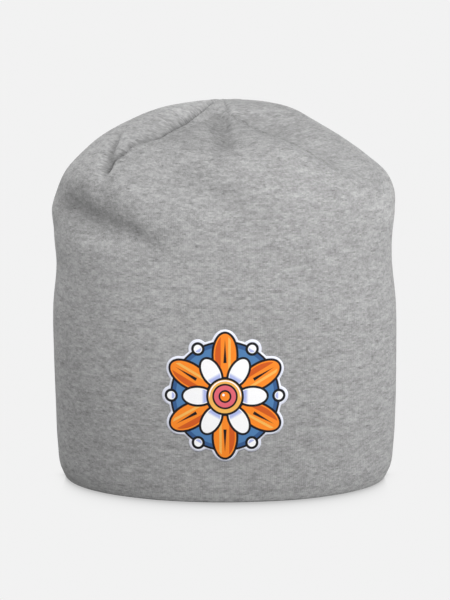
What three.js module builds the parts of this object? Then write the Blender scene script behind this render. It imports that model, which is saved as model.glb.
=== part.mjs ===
// Jersey beanie: a hollow hat of doubled jersey, standing on its folded hem.
// Millimetres, +Z up. The front faces -Y, and the origin is the middle of the oval that the hem stands on.
//
// A place on the cloth is given by its turn and its rise. Turn is in degrees round the head: 0 is the middle
// of the front, 90 the right side of the picture, 180 the back. Rise is in millimetres up the cloth from the
// hem, along the wall and over the crown to the apex.
import * as THREE from 'three';

// Cloth
const WALL = 2.4;            // two layers of jersey, face to face
const HEM_WALL = 3.0;        // the same where the cloth turns back on itself
const HEM_REACH = 16;        // rise at which the wall has thinned to WALL
const HEM_CORNER = 1.1;      // radius of the hem's two lower edges
const HEM_CORNER_STEPS = 3;

// Mesh of the solid: how many rings lie in each stretch of rise, and how many columns go round
const COLUMNS = 64;
const STRETCHES = [
  { name: 'body', share: 0.42, rings: 7 },
  { name: 'shoulder', share: 0.32, rings: 13 },
  { name: 'crown', share: 0.26, rings: 11 },
];
const TIP_RISE = 2.5;        // the last ring stands this far short of the apex

// Half widths of the outside at each height, seen from above: left and right of the middle, front and back
const SECTIONS = [
  { height: 0, left: 103.4, right: 103.8, front: 64.2, back: 63.6 },
  { height: 8, left: 106.9, right: 107.5, front: 65.6, back: 65 },
  { height: 22, left: 108.3, right: 109, front: 66.8, back: 66.4 },
  { height: 50, left: 109.2, right: 110.3, front: 68.9, back: 68.4 },
  { height: 82, left: 110, right: 110.4, front: 70.4, back: 70 },
  { height: 112, left: 109.6, right: 109.2, front: 71, back: 70.4 },
  { height: 142, left: 107.4, right: 106.6, front: 70, back: 69.4 },
  { height: 160, left: 109.6, right: 106.9, front: 68.3, back: 68.4 },
  { height: 175, left: 111.2, right: 107.8, front: 66, back: 67 },
  { height: 187, left: 106.8, right: 107.1, front: 62.5, back: 64 },
  { height: 196.8, left: 101.2, right: 102.6, front: 58, back: 59.5 },
  { height: 208.6, left: 91.4, right: 89.2, front: 51.2, back: 52 },
  { height: 220.5, left: 78.1, right: 72.2, front: 42.6, back: 43 },
  { height: 230.5, left: 60.1, right: 55.7, front: 32, back: 32 },
  { height: 237.5, left: 41.8, right: 42.9, front: 22, back: 21.5 },
  { height: 241.6, left: 20.3, right: 27.2, front: 11, back: 10.5 },
  { height: 243.4, left: 0, right: 0, front: 0, back: 0 },
];

// Folds: each runs from start through middle to end, as [turn, rise], and fades out at both ends.
// Depth is how far the cloth sinks there, and is negative where it stands up in a roll. The slope that lies
// to the left of the way from start to end is uphill wide, the other one downhill wide.
const fold = (name, start, middle, end, uphill, downhill, depth) => ({
  name, start, middle, end, uphill, downhill, depth,
});
const FOLDS = [
  fold('left shoulder', [-90, 168], [-67, 178], [-30, 166], 16, 15, 5.6),
  fold('left shoulder end', [-76, 184], [-44, 174], [-13, 148], 8, 10, 4.4),
  fold('left shoulder roll', [-100, 192], [-54, 203], [-12, 176], 11, 11, -1.2),
  fold('left dart', [-48, 200], [-39, 248], [-34, 304], 5, 9, 3.8),
  fold('left dart roll', [-64, 214], [-58, 258], [-48, 304], 7, 7, -1.2),
  fold('right dart', [62, 186], [38, 240], [14, 286], 8, 9, 3.4),
  fold('crown hollow', [-54, 250], [-6, 270], [70, 242], 11, 17, 8),
  fold('crown floor', [-46, 242], [-10, 240], [26, 238], 10, 9, 3.8),
  fold('crown brow', [-44, 214], [0, 217], [56, 215], 7, 7, -1),
  fold('left pucker', [-68, 250], [-56, 226], [-46, 193], 3.4, 3.4, 4.2),
  fold('right pucker', [52, 207], [63, 197], [76, 187], 4, 4, 1.4),
  fold('apex pinch', [-4, 306], [-1, 262], [2, 220], 5.5, 9, 4.6),
  fold('left drape', [-54, 206], [-46, 190], [-36, 172], 7, 6, 1),
  fold('left drape roll', [-42, 206], [-32, 186], [-18, 160], 9, 9, -1.2),
  fold('front sag', [-32, 216], [-5, 193], [28, 160], 10, 13, 2),
  fold('right sway', [34, 176], [60, 160], [98, 148], 14, 18, 1.3),
  fold('back shoulder', [100, 146], [140, 172], [178, 152], 12, 20, 4.2),
  fold('back sag', [-174, 190], [-150, 168], [-116, 150], 14, 18, 2.4),
  fold('back left dart', [-130, 204], [-138, 236], [-160, 292], 6, 6, 1.8),
  fold('back right dart', [134, 204], [142, 236], [164, 292], 6, 6, 1.8),
];
const FOLD_STEPS = 24;
const FOLD_FADE = 0.3;       // share of a fold's way over which it fades at each end

// Round dents and swells, at a place [turn, rise]
const DENTS = [
  { name: 'apex nub', place: [5, 288], radius: 5, depth: -1.6 },
  { name: 'pucker pit', place: [-50, 212], radius: 5, depth: 1.8 },
  { name: 'front dip', place: [-13, 202], radius: 11, depth: 2.4 },
  { name: 'crown dip', place: [4, 243], radius: 9, depth: 1.6 },
  { name: 'front panel', place: [-4, 212], radius: 24, depth: -0.8 },
  { name: 'back crown hollow', place: [178, 250], radius: 16, depth: 2 },
];

// Rise at each section: the way up the mean of its left and right outline
const WIDTHS = ['left', 'right', 'front', 'back'];
const SECTION_RISE = [0];
for (let i = 1; i < SECTIONS.length; i++) {
  const below = SECTIONS[i - 1];
  const above = SECTIONS[i];
  const inward = (below.left + below.right - above.left - above.right) / 2;
  SECTION_RISE.push(SECTION_RISE[i - 1] + Math.hypot(above.height - below.height, inward));
}
const APEX_RISE = SECTION_RISE[SECTION_RISE.length - 1];

// Slope of a column of SECTIONS at one of its rows, for the smooth curve through them
function columnSlope(column, row) {
  const last = SECTIONS.length - 1;
  const step = (i) => SECTION_RISE[i + 1] - SECTION_RISE[i];
  const climb = (i) => (SECTIONS[i + 1][column] - SECTIONS[i][column]) / step(i);
  if (row === 0) return climb(0);
  if (row === last) return column === 'height' ? 0 : climb(last - 1);
  return (climb(row) * step(row - 1) + climb(row - 1) * step(row)) / (step(row) + step(row - 1));
}

// The section at any rise, on a cubic curve through the table
function sectionAt(rise) {
  let row = 0;
  while (row < SECTIONS.length - 2 && rise > SECTION_RISE[row + 1]) row++;
  const step = SECTION_RISE[row + 1] - SECTION_RISE[row];
  const t = (rise - SECTION_RISE[row]) / step;
  const section = {};
  for (const column of ['height', ...WIDTHS]) {
    const from = SECTIONS[row][column];
    const to = SECTIONS[row + 1][column];
    section[column] = (2 * t ** 3 - 3 * t ** 2 + 1) * from
      + (t ** 3 - 2 * t ** 2 + t) * step * columnSlope(column, row)
      + (3 * t ** 2 - 2 * t ** 3) * to
      + (t ** 3 - t ** 2) * step * columnSlope(column, row + 1);
  }
  return section;
}

// A point of the smooth outside, before any fold
function smoothPoint(turn, rise) {
  const section = sectionAt(rise);
  const angle = THREE.MathUtils.degToRad(turn);
  const across = Math.sin(angle);
  const along = -Math.cos(angle);
  return new THREE.Vector3(
    across * (across < 0 ? section.left : section.right),
    along * (along < 0 ? section.front : section.back),
    section.height,
  );
}

// The way out of the smooth outside at a place
function outwardAt(turn, rise) {
  const reach = 0.5;
  const round = smoothPoint(turn + reach, rise).sub(smoothPoint(turn - reach, rise));
  const up = smoothPoint(turn, rise + reach).sub(smoothPoint(turn, Math.max(rise - reach, 0)));
  return round.cross(up).normalize();
}

// Where a fold runs: short steps along the curve through its three places
function foldSteps({ start, middle, end }) {
  const points = [];
  for (let i = 0; i <= FOLD_STEPS; i++) {
    const t = i / FOLD_STEPS;
    const place = [0, 1].map((k) => start[k] * (1 - t) * (1 - 2 * t)
      + middle[k] * 4 * t * (1 - t)
      + end[k] * t * (2 * t - 1));
    points.push(smoothPoint(...place));
  }
  return points.slice(1).map((to, i) => {
    const way = to.clone().sub(points[i]);
    const share = (i + 0.5) / FOLD_STEPS;
    return {
      centre: to.clone().add(points[i]).multiplyScalar(0.5),
      length: way.length(),
      direction: way.normalize(),
      strength: THREE.MathUtils.smoothstep(share, 0, FOLD_FADE)
        * THREE.MathUtils.smoothstep(1 - share, 0, FOLD_FADE),
    };
  });
}

const foldRoutes = FOLDS.map((route) => ({ ...route, steps: foldSteps(route) }));
const dentCentres = DENTS.map((dent) => ({ ...dent, centre: smoothPoint(...dent.place) }));

// How far the folds and dents push the cloth inwards at a point of the smooth outside
function foldDepth(point, outward) {
  let depth = 0;
  for (const { steps, uphill, downhill, depth: deepest } of foldRoutes) {
    const soft = Math.min(uphill, downhill);
    for (const step of steps) {
      const gap = point.clone().sub(step.centre);
      const side = step.direction.clone().cross(gap).dot(outward);
      const width = THREE.MathUtils.lerp(downhill, uphill, THREE.MathUtils.smoothstep(side, -soft, soft));
      const weight = step.strength * step.length / (width * Math.sqrt(Math.PI));
      depth += deepest * weight * Math.exp(-gap.lengthSq() / width ** 2);
    }
  }
  for (const { centre, radius, depth: deepest } of dentCentres) {
    depth += deepest * Math.exp(-point.distanceToSquared(centre) / radius ** 2);
  }
  return depth;
}

// A point of the real cloth, some way in from its outside
function clothPoint(turn, rise, inset) {
  const outward = outwardAt(turn, rise);
  const point = smoothPoint(turn, rise);
  return point.addScaledVector(outward, -foldDepth(point, outward) - inset);
}

// The tip of the crown, where the way out is straight up
function tipPoint(inset) {
  const up = new THREE.Vector3(0, 0, 1);
  const tip = smoothPoint(0, APEX_RISE);
  return tip.addScaledVector(up, -foldDepth(tip, up) - inset);
}

function wallAt(rise) {
  return THREE.MathUtils.lerp(HEM_WALL, WALL, THREE.MathUtils.smoothstep(rise, 0, HEM_REACH));
}

function ring(pointAt) {
  return Array.from({ length: COLUMNS }, (_, column) => pointAt(360 * column / COLUMNS));
}

// Rises of the wall's rings, from just above the hem's fold to just short of the apex
function wallRises() {
  const rises = [HEM_CORNER];
  let from = HEM_CORNER;
  for (const { share, rings } of STRETCHES) {
    const to = from + share * (APEX_RISE - TIP_RISE - HEM_CORNER);
    for (let i = 1; i <= rings; i++) rises.push(from + (to - from) * i / rings);
    from = to;
  }
  return rises;
}

// The hem's fold: rings round the outer corner, across the flat foot and round the inner corner
function hemRings() {
  const profile = [];
  for (let i = 1; i <= HEM_CORNER_STEPS; i++) {
    const angle = Math.PI / 2 * i / HEM_CORNER_STEPS;
    profile.push({ inset: HEM_CORNER * (1 - Math.cos(angle)), height: HEM_CORNER * (1 - Math.sin(angle)) });
  }
  const mirrored = profile.map(({ inset, height }) => ({ inset: HEM_WALL - inset, height })).reverse();
  return [...profile, ...mirrored].map(({ inset, height }) => ring((turn) => {
    const point = clothPoint(turn, 0, inset);
    point.z = height;
    return point;
  }));
}

// One closed skin through the rings, in order from the outer tip down, under the hem and up the inside
function closedSkin(outerTip, rings, innerTip) {
  const positions = [outerTip, ...rings.flat(), innerTip].flatMap((point) => point.toArray());
  const innerTipIndex = positions.length / 3 - 1;
  const indexOf = (row, column) => 1 + row * COLUMNS + column % COLUMNS;
  const faces = [];
  for (let column = 0; column < COLUMNS; column++) {
    faces.push(0, indexOf(0, column), indexOf(0, column + 1));
    for (let row = 0; row < rings.length - 1; row++) {
      const here = indexOf(row, column);
      const next = indexOf(row, column + 1);
      const below = indexOf(row + 1, column);
      const belowNext = indexOf(row + 1, column + 1);
      faces.push(here, below, belowNext, here, belowNext, next);
    }
    const last = rings.length - 1;
    faces.push(innerTipIndex, indexOf(last, column + 1), indexOf(last, column));
  }
  const geometry = new THREE.BufferGeometry();
  geometry.setAttribute('position', new THREE.Float32BufferAttribute(positions, 3));
  geometry.setIndex(faces);
  geometry.computeVertexNormals();
  return geometry;
}

function jerseyShell() {
  const rises = wallRises();
  const outer = rises.map((rise) => ring((turn) => clothPoint(turn, rise, 0)));
  const inner = rises.map((rise) => ring((turn) => clothPoint(turn, rise, wallAt(rise))));
  const geometry = closedSkin(tipPoint(0), [...outer.reverse(), ...hemRings(), ...inner], tipPoint(WALL));
  const jersey = new THREE.MeshStandardMaterial({ color: 0xa9a9ab, roughness: 0.92, metalness: 0 });
  const mesh = new THREE.Mesh(geometry, jersey);
  mesh.name = 'jersey_shell';
  return mesh;
}

const beanie = new THREE.Group();
beanie.name = 'jersey_beanie';
beanie.add(jerseyShell());

export default beanie;
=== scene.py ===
import math

import bpy
import numpy as np
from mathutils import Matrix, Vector, noise

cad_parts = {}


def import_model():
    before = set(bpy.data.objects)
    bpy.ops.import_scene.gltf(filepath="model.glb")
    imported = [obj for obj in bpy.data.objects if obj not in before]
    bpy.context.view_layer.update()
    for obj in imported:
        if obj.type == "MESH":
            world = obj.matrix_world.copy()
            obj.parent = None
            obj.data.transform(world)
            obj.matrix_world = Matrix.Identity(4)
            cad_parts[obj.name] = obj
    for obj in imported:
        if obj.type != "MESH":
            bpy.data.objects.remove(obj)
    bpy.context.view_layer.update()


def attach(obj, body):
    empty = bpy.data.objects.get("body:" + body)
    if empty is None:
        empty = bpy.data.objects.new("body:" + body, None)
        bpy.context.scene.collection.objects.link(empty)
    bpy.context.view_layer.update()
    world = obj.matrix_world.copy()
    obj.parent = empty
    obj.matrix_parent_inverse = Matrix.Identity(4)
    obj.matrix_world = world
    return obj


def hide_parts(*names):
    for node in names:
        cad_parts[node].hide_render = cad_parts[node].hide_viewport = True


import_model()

MM = 0.001

# Cloth, as the solid has it
WALL = 2.4
HEM_WALL = 3.0
HEM_REACH = 16
HEM_CORNER = 1.1

# Half widths of the outside, seen from above. Columns: height, left, right, front, back.
SECTIONS = np.array([
    (0, 103.4, 103.8, 64.2, 63.6),
    (8, 106.9, 107.5, 65.6, 65.0),
    (22, 108.3, 109.0, 66.8, 66.4),
    (50, 109.2, 110.3, 68.9, 68.4),
    (82, 110.0, 110.4, 70.4, 70.0),
    (112, 109.6, 109.2, 71.0, 70.4),
    (142, 107.4, 106.6, 70.0, 69.4),
    (160, 109.6, 106.9, 68.3, 68.4),
    (175, 111.2, 107.8, 66.0, 67.0),
    (187, 106.8, 107.1, 62.5, 64.0),
    (196.8, 101.2, 102.6, 58.0, 59.5),
    (208.6, 91.4, 89.2, 51.2, 52.0),
    (220.5, 78.1, 72.2, 42.6, 43.0),
    (230.5, 60.1, 55.7, 32.0, 32.0),
    (237.5, 41.8, 42.9, 22.0, 21.5),
    (241.6, 20.3, 27.2, 11.0, 10.5),
    (243.4, 0, 0, 0, 0),
], float)

# Folds run from start through middle to end, as (turn, rise), and fade out at both ends. Depth is how far the
# cloth sinks, negative where it stands up in a roll; uphill and downhill are the widths of its two slopes.
# Columns: name, start, middle, end, uphill, downhill, depth.
FOLDS = [
    ("left shoulder", (-90, 168), (-67, 178), (-30, 166), 16, 15, 5.6),
    ("left shoulder end", (-76, 184), (-44, 174), (-13, 148), 8, 10, 4.4),
    ("left shoulder roll", (-100, 192), (-54, 203), (-12, 176), 11, 11, -1.2),
    ("left dart", (-48, 200), (-39, 248), (-34, 304), 5, 9, 3.8),
    ("left dart roll", (-64, 214), (-58, 258), (-48, 304), 7, 7, -1.2),
    ("right dart", (62, 186), (38, 240), (14, 286), 8, 9, 3.4),
    ("crown hollow", (-54, 250), (-6, 270), (70, 242), 11, 17, 8.0),
    ("crown floor", (-46, 242), (-10, 240), (26, 238), 10, 9, 3.8),
    ("crown brow", (-44, 214), (0, 217), (56, 215), 7, 7, -1.0),
    ("left pucker", (-68, 250), (-56, 226), (-46, 193), 3.4, 3.4, 4.2),
    ("right pucker", (52, 207), (63, 197), (76, 187), 4, 4, 1.4),
    ("apex pinch", (-4, 306), (-1, 262), (2, 220), 5.5, 9, 4.6),
    ("left drape", (-54, 206), (-46, 190), (-36, 172), 7, 6, 1.0),
    ("left drape roll", (-42, 206), (-32, 186), (-18, 160), 9, 9, -1.2),
    ("front sag", (-32, 216), (-5, 193), (28, 160), 10, 13, 2.0),
    ("right sway", (34, 176), (60, 160), (98, 148), 14, 18, 1.3),
    ("back shoulder", (100, 146), (140, 172), (178, 152), 12, 20, 4.2),
    ("back sag", (-174, 190), (-150, 168), (-116, 150), 14, 18, 2.4),
    ("back left dart", (-130, 204), (-138, 236), (-160, 292), 6, 6, 1.8),
    ("back right dart", (134, 204), (142, 236), (164, 292), 6, 6, 1.8),
]
# Creases finer than the solid's folds, in the same columns
CREASES = [
    ("dart tip", (-48, 201), (-48, 214), (-45.5, 234), 2.6, 2.6, 0.8),
    ("hollow foot", (-30, 222), (-9, 223), (12, 224), 8, 8, 1.5),
    ("shoulder foot", (-64, 176), (-50, 168), (-34, 165), 7, 7, 1.6),
]
FOLD_STEPS = 24
FOLD_FADE = 0.3              # share of a fold's length over which either end fades
BELL_REACH = 3               # a bell curve counts for nothing this many widths from its middle

# Round dents and swells. Columns: name, place, radius, depth.
DENTS = [
    ("apex nub", (5, 288), 5, -1.6),
    ("pucker pit", (-50, 212), 5, 1.8),
    ("front dip", (-13, 202), 11, 2.4),
    ("crown dip", (4, 243), 9, 1.6),
    ("front panel", (-4, 212), 24, -0.8),
    ("back crown hollow", (178, 250), 16, 2.0),
]

# Seams: the four darts of the crown and the seam down the middle of the back. Columns: name, rise of the
# start, strength, and the knots as (rise, turn).
DART_TIP = 203
SEAMS = [
    ("back_seam", 0, 0.45,
     ((0, -180), (100, -180), (200, -180), (315, -180))),
    ("back_left_dart", DART_TIP, 0.8,
     ((203, -134), (225, -135), (245, -140), (265, -147), (290, -156), (315, -160))),
    ("left_dart", DART_TIP, 1.3,
     ((203, -47), (208, -48.5), (215, -50), (222, -47), (229.5, -46), (234, -44.5), (238.5, -42.5),
      (242, -41), (246, -38.5), (253, -38), (260, -38), (270, -38), (280, -37.5), (285, -35.5), (291, -36),
      (298.5, -41), (315, -60))),
    ("right_dart", DART_TIP, 0.5,
     ((203, 46.5), (218, 43), (239, 35.5), (251, 31), (259, 27.5), (267.5, 22), (275, 13), (280.5, 7),
      (287, 3), (298, 1), (315, 1))),
    ("back_right_dart", DART_TIP, 0.8,
     ((203, 134), (225, 136), (245, 142), (265, 149), (290, 158), (315, 162))),
]
PANEL_COLUMNS = (48, 92, 100, 92, 48)   # mesh columns between each seam and the next


# The smooth outside and its folds

def smooth_rows(knots, rows, at, level_first_column=False):
    """The rows on a cubic curve through the table, whose rows lie at knots."""
    knots, rows, at = np.asarray(knots, float), np.asarray(rows, float), np.asarray(at, float)
    steps = np.diff(knots)
    climbs = np.diff(rows, axis=0) / steps[:, None]
    slopes = np.empty_like(rows)
    slopes[0], slopes[-1] = climbs[0], climbs[-1]
    before, after = steps[:-1, None], steps[1:, None]
    slopes[1:-1] = (climbs[1:] * before + climbs[:-1] * after) / (before + after)
    if level_first_column:
        slopes[-1, 0] = 0
    row = np.clip(np.searchsorted(knots, at, side="left") - 1, 0, len(steps) - 1)
    step = steps[row][..., None]
    t = ((at - knots[row]) / steps[row])[..., None]
    return ((2 * t**3 - 3 * t**2 + 1) * rows[row] + (t**3 - 2 * t**2 + t) * step * slopes[row]
            + (3 * t**2 - 2 * t**3) * rows[row + 1] + (t**3 - t**2) * step * slopes[row + 1])


def section_rises():
    """Rise at each section: the way up the mean of its left and right outline."""
    inward = np.diff(SECTIONS[:, 1] + SECTIONS[:, 2]) / 2
    return np.concatenate([[0], np.cumsum(np.hypot(np.diff(SECTIONS[:, 0]), inward))])


SECTION_RISE = section_rises()
APEX_RISE = SECTION_RISE[-1]


def smooth_point(turn, rise):
    """Points of the outside before any fold."""
    turn, rise = np.broadcast_arrays(np.asarray(turn, float), np.asarray(rise, float))
    height, left, right, front, back = np.moveaxis(smooth_rows(SECTION_RISE, SECTIONS, rise, True), -1, 0)
    across, along = np.sin(np.radians(turn)), -np.cos(np.radians(turn))
    x = across * np.where(across < 0, left, right)
    y = along * np.where(along < 0, front, back)
    return np.stack([x, y, height], -1)


def unit(vectors):
    return vectors / np.maximum(np.linalg.norm(vectors, axis=-1, keepdims=True), 1e-9)


def outward_at(turn, rise):
    """The way out of the smooth outside."""
    reach = 0.5
    turn, rise = np.asarray(turn, float), np.asarray(rise, float)
    around = smooth_point(turn + reach, rise) - smooth_point(turn - reach, rise)
    up = smooth_point(turn, rise + reach) - smooth_point(turn, np.maximum(rise - reach, 0))
    return unit(np.cross(around, up))


def smoothstep(value, low=0.0, high=1.0):
    t = np.clip((value - low) / (high - low), 0, 1)
    return t * t * (3 - 2 * t)


def near(points, route, reach):
    """Which points lie within reach of the box round a route."""
    return np.nonzero(((points > route.min(0) - reach) & (points < route.max(0) + reach)).all(-1))[0]


def bell(points, place, radius):
    """1 at a place of the smooth outside, and less the further a point lies from it."""
    return np.exp(-((points - smooth_point(*place)) ** 2).sum(-1) / radius**2)


def fold_depth(points, outward, narrow=False):
    """How far the folds and dents push the cloth in, at points of the smooth outside.

    With narrow, each depth is divided by its fold's width, which says how little light gets in.
    """
    depth = np.zeros(len(points))
    t = np.linspace(0, 1, FOLD_STEPS + 1)[:, None]
    share = (np.arange(FOLD_STEPS) + 0.5) / FOLD_STEPS
    strength = smoothstep(share, 0, FOLD_FADE) * smoothstep(1 - share, 0, FOLD_FADE)
    for _, start, middle, end, uphill, downhill, deepest in FOLDS + CREASES:
        places = (np.array(start) * (1 - t) * (1 - 2 * t) + np.array(middle) * 4 * t * (1 - t)
                  + np.array(end) * t * (2 * t - 1))
        route = smooth_point(places[:, 0], places[:, 1])
        some = near(points, route, BELL_REACH * max(uphill, downhill))
        soft = min(uphill, downhill)
        for i in range(FOLD_STEPS):
            way = route[i + 1] - route[i]
            length = np.linalg.norm(way)
            gap = points[some] - (route[i] + route[i + 1]) / 2
            side = (np.cross(way / length, gap) * outward[some]).sum(-1)
            width = downhill + (uphill - downhill) * smoothstep(side, -soft, soft)
            weight = strength[i] * length / (width * math.sqrt(math.pi))
            sunk = deepest * weight * np.exp(-(gap**2).sum(-1) / width**2)
            depth[some] += sunk / width if narrow else sunk
    for _, place, radius, deepest in DENTS:
        sunk = deepest * bell(points, place, radius)
        depth += sunk / radius if narrow else sunk
    return depth


# Detail finer than the solid's folds

SEAM_GROOVE = 1.25           # depth of a sewn seam's groove
SEAM_GROOVE_WIDTH = 0.85
SEAM_RIDGE = 0.55            # the turned-in edges lift the cloth beside the seam
SEAM_RIDGE_AT = 2.6
SEAM_RIDGE_WIDTH = 1.7
PAINTED_SEAM_SHADE_WIDTH = 1.0       # the groove's painted shade reaches about this far from the seam
SEAM_FADE = 9                # a seam fades in over this from a dart's tip, and out towards its end
SEAM_END = 1                 # it is gone this far short of its end
SEAM_STEP = 1.5              # spacing of the points along a seam's route
SEAM_STOP = 0.5              # the route ends about this far short of the apex
PUCKER = 0.07                # height of the small gathers across a seam
PUCKER_PITCH = 6.2
PUCKER_REACH = 6.5
PUCKER_START = 1.2           # they leave the seam itself flat within about this
PUCKER_DRIFT = 1.7           # their rhythm wanders by this angle, in radians
PUCKER_DRIFT_PITCH = 9.1
PUCKER_STAGGER = 0.9         # and is shifted by this angle from one side of the seam to the other
WAVE_SIZES = ((46, 0.55), (24, 0.16), (11, 0.05))   # wavelength and height of the cloth's slight unevenness
HEM_WAVE = 0.45              # height of the waves along the hem
HEM_WAVE_SIZE = 26
HEM_WAVE_REACH = 13
HEM_WAVE_SLICE = 91.0        # where the noise for the hem is cut
WAVE_START = 20              # the cloth's own waves fade in over this from the hem


def seam_places(knots_and_turns, low):
    """Turn and rise along a seam, from a rise near its start to the apex."""
    rises = np.arange(low, APEX_RISE - SEAM_STOP, SEAM_STEP)
    knots, turns = np.array(knots_and_turns, float).T
    return smooth_rows(knots, turns[:, None], rises)[:, 0], rises


def way_along(points, outward, route):
    """Each point's distance to a route, distance along it and side of it, and then the route's length."""
    best = np.full(len(points), 1e9)
    along = np.zeros(len(points))
    side = np.zeros(len(points))
    passed = 0.0
    for a, b in zip(route[:-1], route[1:]):
        length = np.linalg.norm(b - a)
        way = (b - a) / length
        t = np.clip((points - a) @ way, 0, length)
        gap = points - (a + t[:, None] * way)
        distance = np.linalg.norm(gap, axis=1)
        closer = distance < best
        best[closer] = distance[closer]
        along[closer] = passed + t[closer]
        side[closer] = np.sign((np.cross(way, gap) * outward).sum(-1))[closer]
        passed += length
    return best, along, side, passed


def seam_lift(points, outward):
    """How far the seams lift the cloth, negative in grooves, and how deep in a groove it lies, 0 to 1, as the
    share of the groove's painted shade.
    """
    lift = np.zeros(len(points))
    sunk = np.zeros(len(points))
    for number, (_, low, strength, knots) in enumerate(SEAMS):
        turns, rises = seam_places(knots, low)
        route = smooth_point(turns, rises)
        some = near(points, route, BELL_REACH * PUCKER_REACH)
        distance, along, side, length = way_along(points[some], outward[some], route)
        fade_in = 1.0 if low == 0 else smoothstep(along, 0, SEAM_FADE)
        fade = fade_in * smoothstep(length - along, SEAM_END, SEAM_FADE)
        groove = -SEAM_GROOVE * np.exp(-(distance / SEAM_GROOVE_WIDTH) ** 2)
        ridge = SEAM_RIDGE * np.exp(-((distance - SEAM_RIDGE_AT) / SEAM_RIDGE_WIDTH) ** 2)
        drift = PUCKER_DRIFT * np.sin(along / PUCKER_DRIFT_PITCH + number)
        phase = 2 * math.pi * along / PUCKER_PITCH + drift + PUCKER_STAGGER * side
        gather = PUCKER * np.sin(phase) * np.exp(-(distance / PUCKER_REACH) ** 2)
        gather *= 1 - np.exp(-(distance / PUCKER_START) ** 2)
        lift[some] += strength * fade * (groove + ridge + gather)
        # the groove's share of painted shade
        sunk[some] += min(strength, 1) * fade * np.exp(-(distance / PAINTED_SEAM_SHADE_WIDTH) ** 2)
    return lift, np.minimum(sunk, 1)


def soft_waves(points, rise):
    """The slight unevenness of soft cloth, and of the hem's rolled edge."""
    lift = np.zeros(len(points))
    for size, height in WAVE_SIZES:
        lift += height * np.array([noise.noise(Vector(p) / size) for p in points])
    hem = np.array([noise.noise(Vector((p[0], p[1], HEM_WAVE_SLICE)) / HEM_WAVE_SIZE) for p in points])
    return lift * smoothstep(rise, 0, WAVE_START) + HEM_WAVE * hem * np.exp(-(rise / HEM_WAVE_REACH) ** 2)


def cloth_points(turn, rise, inset=0.0):
    """Points of the finished cloth, some way in from its outside, or out where inset is negative."""
    shape = np.broadcast(turn, rise).shape
    turn = np.broadcast_to(np.asarray(turn, float), shape).ravel()
    rise = np.broadcast_to(np.asarray(rise, float), shape).ravel()
    points = smooth_point(turn, rise)
    outward = outward_at(turn, rise)
    lift = seam_lift(points, outward)[0] + soft_waves(points, rise) - fold_depth(points, outward)
    inset = np.broadcast_to(inset, shape).ravel()
    return (points + (lift - inset)[:, None] * outward).reshape(shape + (3,))


# The doubled jersey as one closed mesh

# Ring spacing as (up to this rise, step); rings crowd where the left dart runs level
RINGS = ((140, 3.6), (226, 1.8), (262, 0.8), (340, 1.6))
TIP_GAP = 1.0                # the last ring stands this far short of the apex
APEX_GAP = 0.01              # and the closing point of the cloth this far
INNER_EVERY = 4              # the inside takes every fourth ring
COLUMN_CROWDING = 0.5        # 0 spaces the columns evenly, and 1 would close them up at the seams
HEM_STEPS = 4                # rings round each corner of the hem
OPENEST = 0.2                # depth over width of a fold where its painted shade starts
NARROWEST = 1.4              # depth over width of a fold that gets the full painted shade
# Places where the cloth's colour is painted darker, as shade where less of the soft light arrives, or painted
# lighter, as light, where strength is negative.
# Columns: name, place, radius, strength.
PAINTED_SHADES = [
    ("hollow top", (-12, 284), 9, 0.65),
    ("dart foot", (-22, 250), 10, 0.50),
    ("dart foot end", (-31, 246), 6, 0.40),
    ("hollow foot left", (-15, 231), 7, 0.40),
    ("hollow foot right", (-1, 225), 7, 0.40),
    ("left shoulder", (-65, 181), 14, 0.75),
    ("left shoulder end", (-48, 174), 11, 0.50),
    ("left shoulder tail", (-27, 157), 10, 0.30),
    ("left edge", (-84, 190), 10, 0.60),
    ("front dip", (-13, 199), 10, 0.45),
    ("front sag", (3, 190), 10, 0.50),
    ("front sag end", (11, 174), 10, 0.30),
    ("right dart", (53, 219), 12, 0.50),
    ("right dart top", (53, 252), 14, 0.35),
    ("right pucker", (65, 199), 8, 0.50),
    ("lower left", (-38, 40), 34, 0.25),
    ("left rim", (-56, 279), 13, -0.60),
    ("left dart flank", (-56, 232), 9, -0.50),
    ("apex rim", (-56, 297), 8, -0.70),
    ("pinch flank", (6, 290), 5, -0.80),
    ("right edge", (60, 178), 11, -0.40),
    ("right rim", (76, 178), 14, -0.70),
    ("front middle", (-16, 118), 40, -0.30),
]
PAINTED_HEM_LIGHT = 1.1              # painted light: the hem's colour is made lighter, as light from the floor; a strength as in the painted shades
PAINTED_HEM_LIGHT_REACH = 4.0
# Stretches where a seam's groove gets less of its painted shade, in the same columns
FAINT_SEAM_SHADES = [
    ("left dart middle", (-44, 235), 9, 0.60),
    ("left dart top", (-38, 298), 10, 0.50),
]
UV_SCALE = 0.01              # knit coordinates are in units of 100 mm


def ring_rises():
    rises = [np.array([HEM_CORNER])]
    for up_to, step in RINGS:
        low, high = rises[-1][-1], min(up_to, APEX_RISE - TIP_GAP)
        rises.append(np.linspace(low, high, 1 + round((high - low) / step))[1:])
    return np.concatenate(rises)


def column_turns(rises):
    """The turn of every mesh column at each rise: columns follow the seams and crowd beside them."""
    seam_turn = []
    for _, _, _, knots in SEAMS:
        knot_rises, turns = np.array(knots, float).T
        seam_turn.append(smooth_rows(knot_rises, turns[:, None], np.maximum(rises, knot_rises[0]))[:, 0])
    seam_turn.append(seam_turn[0] + 360)
    blocks = []
    for panel, count in enumerate(PANEL_COLUMNS):
        share = np.arange(count) / count
        share = share - COLUMN_CROWDING * np.sin(2 * math.pi * share) / (2 * math.pi)
        low, high = seam_turn[panel][:, None], seam_turn[panel + 1][:, None]
        blocks.append(low + (high - low) * share[None, :])
    return np.concatenate(blocks, axis=1)


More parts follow.
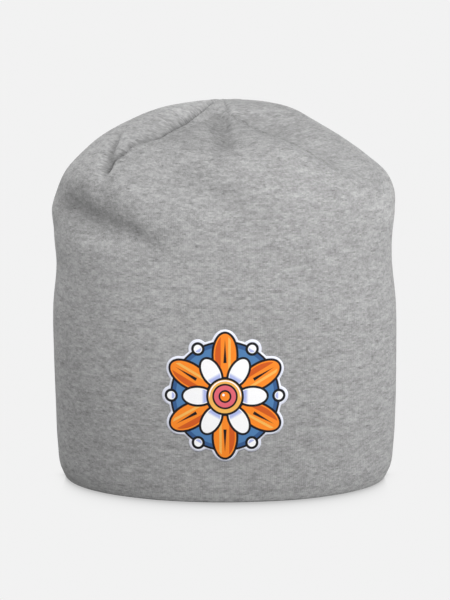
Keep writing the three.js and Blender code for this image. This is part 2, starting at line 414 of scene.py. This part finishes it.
def knit_coordinates(turns, rises):
    """Millimetres along the courses and up the wales, by panel: courses are level, and wales run parallel."""
    points = smooth_point(turns, rises[:, None])
    closed = np.concatenate([points, points[:, :1]], axis=1)
    around = np.concatenate([np.zeros((len(rises), 1)),
                             np.cumsum(np.linalg.norm(np.diff(closed, axis=1), axis=2), axis=1)], axis=1)
    tip = int(np.searchsorted(rises, DART_TIP))
    panels, ups, first, offset = [], [], 0, 0.0
    for count in PANEL_COLUMNS:
        middle = first + count // 2
        across = around[:, first:first + count + 1] - around[:, middle:middle + 1]
        left, right = -across[:, 0], across[:, -1]
        scale_left = np.where(rises < DART_TIP, left[tip] / left, 1.0)[:, None]
        scale_right = np.where(rises < DART_TIP, right[tip] / right, 1.0)[:, None]
        across = np.where(across < 0, across * scale_left, across * scale_right)
        offset += left[tip]
        panels.append(across + offset)
        steps = np.linalg.norm(np.diff(points[:, middle], axis=0), axis=1)
        steps[:tip] = np.diff(rises)[:tip]
        ups.append(rises[0] + np.concatenate([[0], np.cumsum(steps)]))
        offset += right[tip]
        first += count
    return panels, ups


def hem_profile():
    """Inset and height round the hem's fold: outer corner, flat foot, inner corner."""
    angles = np.linspace(0, math.pi / 2, HEM_STEPS + 1)[1:]
    corner = [(HEM_CORNER * (1 - math.cos(a)), HEM_CORNER * (1 - math.sin(a))) for a in angles]
    foot = [(HEM_WALL / 2, 0.0)]
    return corner + foot + [(HEM_WALL - inset, height) for inset, height in reversed(corner)]


def wall_at(rise):
    return HEM_WALL + (WALL - HEM_WALL) * smoothstep(rise, 0, HEM_REACH)


def painted_shade_shares(turn, rise):
    """Shares of the shade painted into the cloth's colour by its folds and by its seams: 1 is full painted
    shade, and below 0 is painted lighter.
    """
    points, outward = smooth_point(turn, rise), outward_at(turn, rise)
    fold = smoothstep(fold_depth(points, outward, narrow=True), OPENEST, NARROWEST)
    # painted shade and painted light at the listed places
    for _, place, radius, strength in PAINTED_SHADES:
        fold += strength * bell(points, place, radius)
    # painted light along the hem
    fold -= PAINTED_HEM_LIGHT * np.exp(-(rise / PAINTED_HEM_LIGHT_REACH) ** 2)
    seam = seam_lift(points, outward)[1]
    for _, place, radius, strength in FAINT_SEAM_SHADES:
        seam *= 1 - strength * bell(points, place, radius)
    return np.minimum(fold, 1), seam


def build_cloth():
    rises = ring_rises()
    turns = column_turns(rises)
    outer = cloth_points(turns, rises[:, None])
    inner_rows = np.arange(0, len(rises), INNER_EVERY)
    inner = cloth_points(turns[inner_rows], rises[inner_rows, None], wall_at(rises[inner_rows])[:, None])
    hem = []
    for inset, height in hem_profile():
        ring = cloth_points(turns[0], np.zeros(len(turns[0])), inset)
        ring[:, 2] = height
        hem.append(ring)
    rings = np.concatenate([outer[::-1], np.array(hem), inner])
    panels, ups = knit_coordinates(turns, rises)
    acrosses = [np.concatenate([p[::-1], np.repeat(p[:1], len(hem), 0), p[inner_rows]]) for p in panels]

    count = len(turns[0])
    tips = cloth_points(np.zeros(2), np.full(2, APEX_RISE - APEX_GAP), np.array([0.0, WALL]))
    tips[:, :2] = 0
    verts = np.concatenate([tips[:1], rings.reshape(-1, 3), tips[1:]]) * MM
    faces, uvs = [], []
    last = len(rings) - 1
    first = 0
    for panel, columns in enumerate(PANEL_COLUMNS):
        across = acrosses[panel]
        up = np.concatenate([ups[panel][::-1], np.zeros(len(hem)), ups[panel][inner_rows]])
        for j in range(columns):
            here, after = first + j, (first + j + 1) % count
            faces.append((0, 1 + here, 1 + after))
            uvs += [(across[0, j], up[0]), (across[0, j], up[0]), (across[0, j + 1], up[0])]
            for row in range(last):
                base, below = 1 + row * count, 1 + (row + 1) * count
                faces.append((base + here, below + here, below + after, base + after))
                uvs += [(across[row, j], up[row]), (across[row + 1, j], up[row + 1]),
                        (across[row + 1, j + 1], up[row + 1]), (across[row, j + 1], up[row])]
            base = 1 + last * count
            faces.append((len(verts) - 1, base + after, base + here))
            uvs += [(across[last, j], up[last]), (across[last, j + 1], up[last]), (across[last, j], up[last])]
        first += columns
    piece = mesh_piece("jersey_cloth", verts, faces, np.array(uvs) * UV_SCALE)
    outside = 1 + outer.shape[0] * count
    # Shares of painted shade and light: the outside has its own, the hem those of its lowest ring, and the
    # inside none
    fold_and_seam = painted_shade_shares(turns[::-1].ravel(), np.repeat(rises[::-1], count))
    for name, shares in zip(("fold", "seam"), fold_and_seam):
        values = np.zeros(len(verts))
        values[1:outside] = shares
        values[outside:outside + len(hem) * count] = np.tile(shares[-count:], len(hem))
        piece.data.attributes.new(name, "FLOAT", "POINT").data.foreach_set("value", values)
    return piece


def mesh_piece(name, verts, faces, uvs=None):
    """A smooth-shaded mesh object from points in metres."""
    mesh = bpy.data.meshes.new(name)
    mesh.from_pydata([tuple(v) for v in verts], [], faces)
    if uvs is not None:
        mesh.uv_layers.new(name="knit").data.foreach_set("uv", np.asarray(uvs, np.float32).ravel())
    mesh.polygons.foreach_set("use_smooth", np.ones(len(mesh.polygons), bool))
    mesh.validate()
    mesh.update()
    piece = bpy.data.objects.new(name, mesh)
    bpy.context.scene.collection.objects.link(piece)
    return piece


# Materials

class Shader:
    """A node material under construction; values and links go to sockets alike."""

    def __init__(self, name):
        self.material = bpy.data.materials.new(name)
        self.material.use_nodes = True
        self.tree = self.material.node_tree
        self.principled = self.tree.nodes["Principled BSDF"]

    def put(self, socket, value):
        if isinstance(value, bpy.types.NodeSocket):
            self.tree.links.new(value, socket)
        else:
            socket.default_value = value

    def node(self, kind, inputs=(), **settings):
        made = self.tree.nodes.new(kind)
        for key, value in settings.items():
            setattr(made, key, value)
        for key, value in dict(inputs).items():
            self.put(made.inputs[key], value)
        return made

    def math(self, operation, a, b=0.0, c=0.0):
        return self.node("ShaderNodeMath", {0: a, 1: b, 2: c}, operation=operation).outputs[0]

    def length(self, x, y):
        square = self.math("MULTIPLY_ADD", x, x, self.math("MULTIPLY", y, y))
        return self.math("SQRT", square)

    def combine(self, x, y, z):
        return self.node("ShaderNodeCombineXYZ", {0: x, 1: y, 2: z}).outputs[0]

    def noise(self, vector, detail, roughness=0.5):
        return self.node("ShaderNodeTexNoise", {"Vector": vector, "Scale": 1.0, "Detail": detail,
                                                "Roughness": roughness}).outputs["Fac"]

    def grain(self, across, up, size, detail, layer=0.0):
        """Noise with grains of a size in millimetres, across and up; each layer has its own pattern."""
        place = self.combine(self.math("DIVIDE", across, size[0]), self.math("DIVIDE", up, size[1]), layer)
        return self.noise(place, detail)

    def grey(self, value):
        return self.node("ShaderNodeCombineColor", {0: value, 1: value, 2: value}).outputs[0]

    def bump(self, height, strength, distance):
        return self.node("ShaderNodeBump", {"Strength": strength, "Distance": distance,
                                            "Height": height}).outputs[0]

    def knit_place(self):
        """Millimetres along the courses and up the wales."""
        place = self.node("ShaderNodeUVMap", uv_map="knit").outputs[0]
        parts = self.node("ShaderNodeSeparateXYZ", {0: place}).outputs
        return [self.math("MULTIPLY", part, 1 / UV_SCALE) for part in parts[:2]]

    def finish(self, **sockets):
        for key, value in sockets.items():
            self.put(self.principled.inputs[key.replace("_", " ")], value)
        return self.material


WALE = 1.22                  # width of one column of stitches
COURSE = 0.92                # height of one row of stitches
FURROW_STEEP = 4.0           # how fast a wale rises from the furrow beside it, for each wale's width
FURROW_SOFT = 0.3
FURROW_HEIGHT = 0.5
LEG_LEAN = 1.5               # a stitch's legs climb this many courses for each wale's width
LEG_SWING = 0.22
LEG_HEIGHT = 0.3
HAIR_SIZE = (0.5, 0.35)


def knit_height(shader, across, up, fuzz):
    """Height of single jersey's face: columns of V stitches with a furrow between them, and fine hairs."""
    fraction = shader.math("FRACT", shader.math("DIVIDE", across, WALE))
    off_centre = shader.math("ABSOLUTE", shader.math("SUBTRACT", fraction, 0.5))
    slope = shader.math("MULTIPLY", shader.math("SUBTRACT", 0.5, off_centre), FURROW_STEEP)
    furrow = shader.math("SMOOTH_MIN", slope, 1.0, FURROW_SOFT)
    lean = shader.math("MULTIPLY", off_centre, LEG_LEAN)
    phase = shader.math("MULTIPLY", shader.math("ADD", shader.math("DIVIDE", up, COURSE), lean), 2 * math.pi)
    leg = shader.math("MULTIPLY_ADD", shader.math("SINE", phase), LEG_SWING, LEG_HEIGHT)
    hairs = shader.grain(across, up, HAIR_SIZE, 3.0)
    knit = shader.math("MULTIPLY_ADD", furrow, FURROW_HEIGHT, leg)
    return shader.math("MULTIPLY_ADD", hairs, fuzz, knit)


JERSEY_GREY = 0.31           # linear albedo of the heather yarn, on the whole
JERSEY_ROUGHNESS = 0.84
JERSEY_ROUGHNESS_SWING = 0.12
JERSEY_FUZZ = 0.25           # height of its hairs, as a share of the relief
JERSEY_BUMP = 0.55
JERSEY_RELIEF = 0.00022      # metres, as the thread's and the print's relief
# Streaks of darker and lighter fibre. Columns: length in mm, height in rows, shift from one row of streaks to
# the next, and strength.
STREAKS = [
    (7.0, 2, 5.13, 0.78),
    (3.4, 1, 7.71, 0.85),
    (1.8, 1, 3.37, 0.75),
]
STREAK_ROUGHNESS = 0.55
STREAK_LAYER = 3.0           # step from one row of the table to the next in the noise
FLECK = 0.45                 # strength of the single fibres
FLECK_SIZE = (1.1, 0.62)
FLECK_LAYER = 9.0
MOTTLE = 0.36                # strength of the cloudy patches
MOTTLE_SIZE = (15.0, 6.0)
MOTTLE_LAYER = 2.0
PAINTED_FOLD_SHADE = 0.26            # the narrowest folds are painted this much darker, as shade
PAINTED_SEAM_SHADE = 0.32            # and the seams' grooves this much, also painted shade


def jersey_material():
    shader = Shader("heather_jersey")
    across, up = shader.knit_place()
    tone = 1.0
    for number, (length, rows, shift, strength) in enumerate(STREAKS):
        along = shader.math("DIVIDE", across, length)
        row = shader.math("FLOOR", shader.math("DIVIDE", up, COURSE * rows))
        place = shader.combine(along, shader.math("MULTIPLY", row, shift), STREAK_LAYER * number)
        streak = shader.math("SUBTRACT", shader.noise(place, 2.0, STREAK_ROUGHNESS), 0.5)
        tone = shader.math("MULTIPLY_ADD", streak, strength, tone)
    fleck = shader.grain(across, up, FLECK_SIZE, 1.0, FLECK_LAYER)
    mottle = shader.grain(across, up, MOTTLE_SIZE, 3.0, MOTTLE_LAYER)
    for strength, value in ((FLECK, fleck), (MOTTLE, mottle)):
        tone = shader.math("MULTIPLY_ADD", shader.math("SUBTRACT", value, 0.5), strength, tone)
    # Painted shade: the fold and seam shares darken the yarn's colour, and a fold share below 0 paints it
    # lighter
    for name, shade in (("fold", PAINTED_FOLD_SHADE), ("seam", PAINTED_SEAM_SHADE)):
        share = shader.node("ShaderNodeAttribute", attribute_name=name).outputs["Fac"]
        tone = shader.math("MULTIPLY", tone, shader.math("MULTIPLY_ADD", share, -shade, 1.0))
    colour = shader.grey(shader.math("MULTIPLY", tone, JERSEY_GREY))
    rough = shader.math("MULTIPLY_ADD", fleck, JERSEY_ROUGHNESS_SWING, JERSEY_ROUGHNESS)
    bump = shader.bump(knit_height(shader, across, up, JERSEY_FUZZ), JERSEY_BUMP, JERSEY_RELIEF)
    return shader.finish(Base_Color=colour, Roughness=rough, Normal=bump, Specular_IOR_Level=0.22,
                         Sheen_Weight=0.12, Sheen_Roughness=0.55)


THREAD_GREY = 0.27           # linear albedo in the darkest of its fuzz
THREAD_FUZZ = 0.12
THREAD_FUZZ_SIZE = (0.3, 0.3)
THREAD_PLY = 0.5             # length of one turn of its plies
THREAD_PLY_TONE = 0.02
THREAD_BUMP = 0.4
THREAD_RELIEF = 0.0001
THREAD_ROUGHNESS = 0.6
THREAD_ROUGHNESS_SWING = 0.2


def thread_material():
    shader = Shader("seam_thread")
    across, up = shader.knit_place()
    turns = shader.math("MULTIPLY", shader.math("ADD", across, up), 2 * math.pi / THREAD_PLY)
    ply = shader.math("SINE", turns)
    fuzz = shader.grain(across, up, THREAD_FUZZ_SIZE, 2.0)
    tone = shader.math("MULTIPLY_ADD", fuzz, THREAD_FUZZ, THREAD_GREY)
    tone = shader.math("MULTIPLY_ADD", ply, THREAD_PLY_TONE, tone)
    rough = shader.math("MULTIPLY_ADD", fuzz, THREAD_ROUGHNESS_SWING, THREAD_ROUGHNESS)
    bump = shader.bump(ply, THREAD_BUMP, THREAD_RELIEF)
    return shader.finish(Base_Color=shader.grey(tone), Roughness=rough, Normal=bump, Specular_IOR_Level=0.3)


# Seam stitches, sunk in the grooves

STITCH = 2.0                 # length of a stitch
STITCH_GAP = 0.9             # from one stitch to the next
THREAD_RADIUS = 0.22
THREAD_SIDES = 8
# Along a stitch, as (share of its half length, share of the thread's radius)
STITCH_RINGS = ((-1.0, 0.35), (-0.85, 0.8), (-0.6, 1.0), (0.0, 1.0), (0.6, 1.0), (0.85, 0.8), (1.0, 0.35))
STITCH_START = 5.0           # the thread's route starts this far up from the seam's start
STITCH_OUT = 0.1             # the thread's middle lies this far out of the cloth
THREAD_SIDE = 0.17           # width of one of its sides in the knit coordinates


def seam_stitches(name, low, knots):
    """One mesh of all the stitches along a seam."""
    turns, rises = seam_places(knots, low + STITCH_START)
    route = cloth_points(turns, rises, -STITCH_OUT)
    outward = outward_at(turns, rises)
    passed = np.concatenate([[0], np.cumsum(np.linalg.norm(np.diff(route, axis=0), axis=1))])
    middles = np.arange(STITCH, passed[-1] - STITCH, STITCH + STITCH_GAP)

    def at(table, distance):
        return np.stack([np.interp(distance, passed, table[:, i]) for i in range(3)], -1)

    start, end = at(route, middles - STITCH / 2), at(route, middles + STITCH / 2)
    centre, along, out = (start + end) / 2, unit(end - start), at(outward, middles)
    side = unit(np.cross(along, out))
    out = np.cross(side, along)
    angles = np.arange(THREAD_SIDES) * 2 * math.pi / THREAD_SIDES
    verts, faces, uvs = [], [], []
    for i in range(len(middles)):
        base = len(verts)
        for share, swell in STITCH_RINGS:
            for angle in angles:
                reach = THREAD_RADIUS * swell
                verts.append(centre[i] + along[i] * share * STITCH / 2
                             + reach * (math.cos(angle) * side[i] + math.sin(angle) * out[i]))
        for ring in range(len(STITCH_RINGS) - 1):
            for j in range(THREAD_SIDES):
                after = (j + 1) % THREAD_SIDES
                a, b = base + ring * THREAD_SIDES, base + (ring + 1) * THREAD_SIDES
                faces.append((a + j, a + after, b + after, b + j))
                place = middles[i] + STITCH_RINGS[ring][0] * STITCH / 2
                further = middles[i] + STITCH_RINGS[ring + 1][0] * STITCH / 2
                round_here, round_after = j * THREAD_SIDE, (j + 1) * THREAD_SIDE
                uvs += [(round_here, place), (round_after, place), (round_after, further),
                        (round_here, further)]
        last = base + (len(STITCH_RINGS) - 1) * THREAD_SIDES
        faces.append(tuple(base + j for j in reversed(range(THREAD_SIDES))))
        faces.append(tuple(last + j for j in range(THREAD_SIDES)))
        uvs += [(0, middles[i])] * (2 * THREAD_SIDES)
    return mesh_piece(name, np.array(verts) * MM, faces, np.array(uvs) * UV_SCALE)


# The print on the front, a generic rosette: six petals on spokes, with smaller ones and beads between them.
# Its places are millimetres across and up from its own middle.

PRINT_HEIGHT = 68.5          # of its middle
PRINT_LIFT = 0.15            # the film stands this far out of the cloth, and reaches as far in
PRINT_TALL = 1.04            # its height over its width
PETALS = 6
DISC = 32.0
OUTLINE = 1.25               # width of the black round each shape
HALO = 1.1                   # width of the pale edge round the whole print
DISC_RIM = 2.2               # width of the disc's darker rim
LEAST_STEEP = 0.01           # keeps the middle of an ellipse from dividing by 0
# Ellipses on spokes, as (distance of the middle from the print's, half length, half width, whether the spoke
# lies between the outer petals)
OUTER_PETAL = (24.6, 12.8, 6.8, False)
INNER_PETAL = (16.6, 8.6, 5.0, True)
BEAD = (32.6, 2.5, 2.5, True)
# Rings round the print's middle, as (radius, ink), each over the one before
HEART = ((11.4, "black"), (10.1, "gold"), (7.7, "black"), (6.6, "pink"), (3.9, "black"), (2.8, "orange"))
PETAL_SHADE_INSET = 0.9      # a petal's shade keeps this far inside its edge
PETAL_SHADE_FROM = 2.6       # and this far aside of its vein
PETAL_SHADE_SOFT = 0.4
PETAL_GLEAM_INSET = 1.3
PETAL_GLEAM_AT = 2.7         # on the vein's other side
PETAL_GLEAM_HALF = 0.75
VEIN_START = 20.0
VEIN_END = 34.0
VEIN_TAPER = 0.07            # half width of the vein for each millimetre to its end
LILAC_INSET = 0.5            # the white shapes' shade keeps this far inside their edge
BEAD_SHADE_TO = 32.2
BEAD_SHADE_SOFT = 0.6
INNER_SHADE_TO = 13.4
INNER_SHADE_SOFT = 1.6
RING_GLEAM_AT = 9.4
RING_GLEAM_HALF = 0.35
RING_GLEAM_SOFT = 2.0
SPOT_AT = 0.9                # left of the middle and above it
SPOT_RADIUS = 0.8
EDGE_SOFT = 0.16             # an ink's edge blurs over this
WEAR_SIZE = (0.9, 0.7)
WEAR_SWING = 0.12
WEAR_LEAST = 0.94
INK_ROUGHNESS = 0.5
INK_ROUGHNESS_SWING = 0.2
INK_BUMP = 0.3
INK_RELIEF = 0.00015
INK_FUZZ = 0.1

INK = {
    "halo": (0.74, 0.76, 0.86),
    "blue": (0.075, 0.20, 0.42),
    "deep blue": (0.035, 0.10, 0.26),
    "black": (0.006, 0.006, 0.008),
    "orange": (0.93, 0.25, 0.018),
    "deep orange": (0.62, 0.10, 0.012),
    "gold": (0.88, 0.46, 0.10),
    "white": (0.93, 0.93, 0.94),
    "lilac": (0.42, 0.48, 0.80),
    "pink": (0.74, 0.13, 0.17),
}


def ellipse_gap(shader, along, aside, shape):
    """Millimetres outside an ellipse that lies along its spoke."""
    middle, half_length, half_width, _ = shape
    x = shader.math("DIVIDE", shader.math("SUBTRACT", along, middle), half_length)
    y = shader.math("DIVIDE", aside, half_width)
    square = shader.math("MULTIPLY_ADD", x, x, shader.math("MULTIPLY", y, y))
    steep_x = shader.math("DIVIDE", x, half_length)
    steep_y = shader.math("DIVIDE", y, half_width)
    steep = shader.length(steep_x, steep_y)
    steep = shader.math("MULTIPLY", shader.math("MAXIMUM", steep, LEAST_STEEP), 2.0)
    return shader.math("DIVIDE", shader.math("SUBTRACT", square, 1.0), steep)


def ink_material():
    shader = Shader("print_ink")
    across, rise = shader.knit_place()
    up = shader.math("DIVIDE", shader.math("SUBTRACT", rise, PRINT_HEIGHT), PRINT_TALL)
    radius = shader.length(across, up)
    spoke_angle = 2 * math.pi / PETALS
    angle = shader.math("DIVIDE", shader.math("ARCTAN2", across, up), spoke_angle)

    def spoke(between):
        """Millimetres along and aside of the nearest spoke."""
        # Eight whole spokes keep the angle above 0
        shifted = shader.math("ADD", angle, 8.0 if between else 8.5)
        turned = shader.math("SUBTRACT", shader.math("FRACT", shifted), 0.5)
        turned = shader.math("MULTIPLY", turned, spoke_angle)
        return (shader.math("MULTIPLY", radius, shader.math("COSINE", turned)),
                shader.math("MULTIPLY", radius, shader.math("SINE", turned)))

    on, off = spoke(False), spoke(True)
    outer = ellipse_gap(shader, *on, OUTER_PETAL)
    inner = ellipse_gap(shader, *off, INNER_PETAL)
    bead = ellipse_gap(shader, *off, BEAD)

    def within(gap, edge=0.0, soft=EDGE_SOFT):
        """1 where the gap is less than edge, 0 where it is more."""
        return shader.node("ShaderNodeMath", {0: shader.math("SUBTRACT", edge, gap), 1: 1 / soft, 2: 0.5},
                           operation="MULTIPLY_ADD", use_clamp=True).outputs[0]

    def off_by(value, middle):
        return shader.math("ABSOLUTE", shader.math("SUBTRACT", value, middle))

    colour = INK["halo"] + (1.0,)

    def paint(ink, mask, second=None):
        """Ink over what is there, within a mask or where two masks meet."""
        nonlocal colour
        mix = shader.node("ShaderNodeMix", data_type="RGBA")
        shader.put(mix.inputs[0], mask if second is None else shader.math("MULTIPLY", mask, second))
        shader.put(mix.inputs[6], colour)
        shader.put(mix.inputs[7], INK[ink] + (1.0,))
        colour = mix.outputs[2]

    paint("black", within(radius, DISC + OUTLINE))
    paint("deep blue", within(radius, DISC))
    paint("blue", within(radius, DISC - DISC_RIM))
    paint("black", within(bead, OUTLINE))
    paint("white", within(bead))
    paint("lilac", within(bead, -LILAC_INSET), within(off[0], BEAD_SHADE_TO, BEAD_SHADE_SOFT))
    paint("black", within(outer, OUTLINE))
    paint("orange", within(outer))
    shaded_side = within(on[1], -PETAL_SHADE_FROM, PETAL_SHADE_SOFT)
    paint("deep orange", within(outer, -PETAL_SHADE_INSET), shaded_side)
    gleam = within(off_by(on[1], PETAL_GLEAM_AT), PETAL_GLEAM_HALF)
    paint("gold", within(outer, -PETAL_GLEAM_INSET), gleam)
    vein_half = shader.math("MULTIPLY", shader.math("SUBTRACT", VEIN_END, on[0]), VEIN_TAPER)
    to_vein = shader.math("SUBTRACT", VEIN_START, on[0])
    paint("black", within(shader.math("ABSOLUTE", on[1]), vein_half), within(to_vein))
    paint("black", within(inner, OUTLINE))
    paint("white", within(inner))
    paint("lilac", within(inner, -LILAC_INSET), within(off[0], INNER_SHADE_TO, INNER_SHADE_SOFT))
    for edge, ink in HEART:
        paint(ink, within(radius, edge))
    upper_half = within(shader.math("MULTIPLY", up, -1.0), 0.0, RING_GLEAM_SOFT)
    paint("white", within(off_by(radius, RING_GLEAM_AT), RING_GLEAM_HALF), upper_half)
    spot = shader.length(shader.math("ADD", across, SPOT_AT), shader.math("SUBTRACT", up, SPOT_AT))
    paint("white", within(spot, SPOT_RADIUS))

    wear = shader.grain(across, rise, WEAR_SIZE, 2.0)
    hue = shader.node("ShaderNodeVectorMath", operation="SCALE")
    shader.put(hue.inputs[0], colour)
    shader.put(hue.inputs["Scale"], shader.math("MULTIPLY_ADD", wear, WEAR_SWING, WEAR_LEAST))
    bump = shader.bump(knit_height(shader, across, rise, INK_FUZZ), INK_BUMP, INK_RELIEF)
    rough = shader.math("MULTIPLY_ADD", wear, INK_ROUGHNESS_SWING, INK_ROUGHNESS)
    return shader.finish(Base_Color=hue.outputs[0], Roughness=rough, Normal=bump, Specular_IOR_Level=0.3)


PRINT_SPOKES = 320
PRINT_RINGS = 26
PRINT_SEARCH = (DISC, 44)    # the halo's edge is looked for between these distances
PRINT_SEARCH_STEP = 0.05
HEIGHT_SAMPLES = 1200        # points of the table that gives the rise at a height


def print_outline():
    """How far the print's halo reaches along each of its spokes."""
    angles = np.arange(PRINT_SPOKES) * 2 * math.pi / PRINT_SPOKES
    reach = np.arange(*PRINT_SEARCH, PRINT_SEARCH_STEP)
    angle, radius = np.meshgrid(angles, reach, indexing="ij")
    gaps = [radius - DISC]
    step = 2 * math.pi / PETALS
    for middle, half_length, half_width, between in (OUTER_PETAL, BEAD):
        turned = ((angle / step + (0.0 if between else 0.5)) % 1 - 0.5) * step
        x = (radius * np.cos(turned) - middle) / half_length
        y = radius * np.sin(turned) / half_width
        steep = 2 * np.hypot(x / half_length, y / half_width)
        gaps.append((x * x + y * y - 1) / np.maximum(steep, LEAST_STEEP))
    inside = np.min(gaps, axis=0) < OUTLINE + HALO
    return angles, reach[inside.shape[1] - 1 - inside[:, ::-1].argmax(1)]


def build_print():
    angles, reach = print_outline()
    shares = np.arange(1, PRINT_RINGS + 1)[:, None] / PRINT_RINGS
    x = np.concatenate([[0], (shares * reach * np.sin(angles)).ravel()])
    z = PRINT_HEIGHT + PRINT_TALL * np.concatenate([[0], (shares * reach * np.cos(angles)).ravel()])
    rises = np.linspace(0, APEX_RISE, HEIGHT_SAMPLES)
    heights, lefts, rights = smooth_rows(SECTION_RISE, SECTIONS, rises, True)[:, :3].T
    rise = np.interp(z, heights, rises)
    half = np.where(x < 0, np.interp(rise, rises, lefts), np.interp(rise, rises, rights))
    turn = np.degrees(np.arcsin(x / half))
    top, bottom = cloth_points(turn, rise, -PRINT_LIFT), cloth_points(turn, rise, PRINT_LIFT)
    verts = np.concatenate([top, bottom]) * MM
    under = len(top)
    faces = []
    for j in range(PRINT_SPOKES):
        after = (j + 1) % PRINT_SPOKES
        faces.append((0, 1 + after, 1 + j))
        faces.append((under, under + 1 + j, under + 1 + after))
        for ring in range(PRINT_RINGS - 1):
            a, b = 1 + ring * PRINT_SPOKES, 1 + (ring + 1) * PRINT_SPOKES
            faces.append((a + j, a + after, b + after, b + j))
            faces.append((under + a + j, under + b + j, under + b + after, under + a + after))
        rim = 1 + (PRINT_RINGS - 1) * PRINT_SPOKES
        faces.append((rim + j, rim + after, under + rim + after, under + rim + j))
    places = np.concatenate([np.stack([x, z], 1)] * 2)
    uvs = [places[corner] for face in faces for corner in face]
    return mesh_piece("front_print", verts, faces, np.array(uvs) * UV_SCALE)


# Stage, camera and light

# Lengths here are metres. The camera and the lights aim at one point above the frame's origin.
AIM_HEIGHT = 0.1154
CAMERA_DISTANCE = 1.100      # from that point
CAMERA_ELEVATION = 10.0      # degrees
PHOTO_SCALE = 0.64           # millimetres of the hat's middle in one pixel of the photo
PHOTO_ROWS = 600             # pixels along the photo's longer side, which the lens spans
BACKGROUND = 0.887           # linear radiance of the photo's pale ground


def camera():
    elevation = math.radians(CAMERA_ELEVATION)
    aim = Vector((0, 0, AIM_HEIGHT))
    back = Vector((0, -math.cos(elevation), math.sin(elevation)))
    data = bpy.data.cameras.new("camera")
    data.lens = data.sensor_width * CAMERA_DISTANCE / (PHOTO_SCALE * MM * PHOTO_ROWS)
    made = bpy.data.objects.new("camera", data)
    bpy.context.scene.collection.objects.link(made)
    made.location = aim + CAMERA_DISTANCE * back
    made.rotation_euler = (-back).to_track_quat("-Z", "Y").to_euler()
    bpy.context.scene.camera = made


# Columns: name, place, size and watts
LIGHTS = [
    ("key", (0.6, -0.7, 0.5), 0.5, 5.9),
    ("left_front", (-0.6, -0.7, 0.45), 0.5, 4.7),
    ("right_low", (0.98, -0.05, 0.06), 0.5, 7.5),
    ("front_top", (0.0, -0.55, 0.85), 0.5, 2.6),
    ("left_back", (-0.6, 0.5, 0.65), 0.5, 4.2),
    ("back", (0.2, 0.95, 0.4), 0.6, 4.5),
]


def lights():
    for name, place, size, watts in LIGHTS:
        data = bpy.data.lights.new(name, "AREA")
        data.shape = "DISK"
        data.size = size
        data.energy = watts
        made = bpy.data.objects.new(name, data)
        bpy.context.scene.collection.objects.link(made)
        made.location = place
        made.rotation_euler = (Vector(place) - Vector((0, 0, AIM_HEIGHT))).to_track_quat("Z", "Y").to_euler()


SKY = 0.2                    # linear radiance of the soft surrounding light


def world():
    made = bpy.data.worlds.new("studio")
    bpy.context.scene.world = made
    made.use_nodes = True
    tree = made.node_tree
    tree.nodes.clear()
    sky = tree.nodes.new("ShaderNodeBackground")
    sky.inputs["Color"].default_value = (1, 1, 1, 1)
    sky.inputs["Strength"].default_value = SKY
    seen = tree.nodes.new("ShaderNodeBackground")
    seen.inputs["Color"].default_value = (1, 1, 1, 1)
    seen.inputs["Strength"].default_value = BACKGROUND
    path = tree.nodes.new("ShaderNodeLightPath")
    mix = tree.nodes.new("ShaderNodeMixShader")
    out = tree.nodes.new("ShaderNodeOutputWorld")
    tree.links.new(path.outputs["Is Camera Ray"], mix.inputs[0])
    tree.links.new(sky.outputs[0], mix.inputs[1])
    tree.links.new(seen.outputs[0], mix.inputs[2])
    tree.links.new(mix.outputs[0], out.inputs[0])


FLOOR_HALF = 6.0             # half the floor's side
FLOOR_ALBEDO = 0.12
# A contact shadow painted into the floor's brightness round the hem, not cast by the lights
CONTACT_WIDE = 0.1035        # half widths of the hem's footprint
CONTACT_DEEP = 0.066
CONTACT_REACH = 0.0078       # the painted contact shadow falls off in front and behind within this
CONTACT_REACH_ASIDE = 0.0022
PAINTED_CONTACT_SHADE = 0.39         # how much darker the painted contact shadow makes the floor at the hem


def floor():
    corners = [(x * FLOOR_HALF, y * FLOOR_HALF, 0) for x, y in ((-1, -1), (1, -1), (1, 1), (-1, 1))]
    shader = Shader("pale_floor")
    tree = shader.tree
    tree.nodes.remove(shader.principled)
    place = shader.node("ShaderNodeNewGeometry").outputs["Position"]
    x, y, _ = shader.node("ShaderNodeSeparateXYZ", {0: place}).outputs
    # Painted contact shadow: the floor that the camera sees is darker near the hem's footprint
    aside, away = shader.math("ABSOLUTE", x), shader.math("ABSOLUTE", y)
    share = shader.math("MINIMUM", shader.math("DIVIDE", aside, CONTACT_WIDE), 1.0)
    edge = shader.math("SQRT", shader.math("SUBTRACT", 1.0, shader.math("MULTIPLY", share, share)))
    gap = shader.math("MAXIMUM", shader.math("MULTIPLY_ADD", edge, -CONTACT_DEEP, away), 0.0)
    gap_aside = shader.math("MAXIMUM", shader.math("SUBTRACT", aside, CONTACT_WIDE), 0.0)
    total = shader.math("ADD", shader.math("DIVIDE", gap, CONTACT_REACH),
                        shader.math("DIVIDE", gap_aside, CONTACT_REACH_ASIDE))
    left = shader.math("EXPONENT", shader.math("MULTIPLY", total, -1.0))
    shade = shader.math("MULTIPLY", left, PAINTED_CONTACT_SHADE)
    light = shader.math("MULTIPLY", shader.math("SUBTRACT", 1.0, shade), BACKGROUND)
    seen = shader.node("ShaderNodeEmission", {"Strength": light}).outputs[0]
    plain = shader.node("ShaderNodeBsdfDiffuse", {"Color": (FLOOR_ALBEDO,) * 3 + (1,)}).outputs[0]
    path = shader.node("ShaderNodeLightPath").outputs["Is Camera Ray"]
    mix = shader.node("ShaderNodeMixShader", {0: path, 1: plain, 2: seen}).outputs[0]
    tree.links.new(mix, tree.nodes["Material Output"].inputs["Surface"])
    made = mesh_piece("floor", corners, [(0, 1, 2, 3)])
    made.data.materials.append(shader.material)


bpy.context.scene.view_settings.view_transform = "Standard"
camera()
lights()
world()
floor()


def wear_and_ride(piece, material):
    piece.data.materials.append(material)
    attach(piece, "root")


cloth = build_cloth()
wear_and_ride(cloth, jersey_material())
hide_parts("jersey_shell")
thread = thread_material()
for name, low, _, knots in SEAMS:
    wear_and_ride(seam_stitches(name + "_stitches", low, knots), thread)
wear_and_ride(build_print(), ink_material())
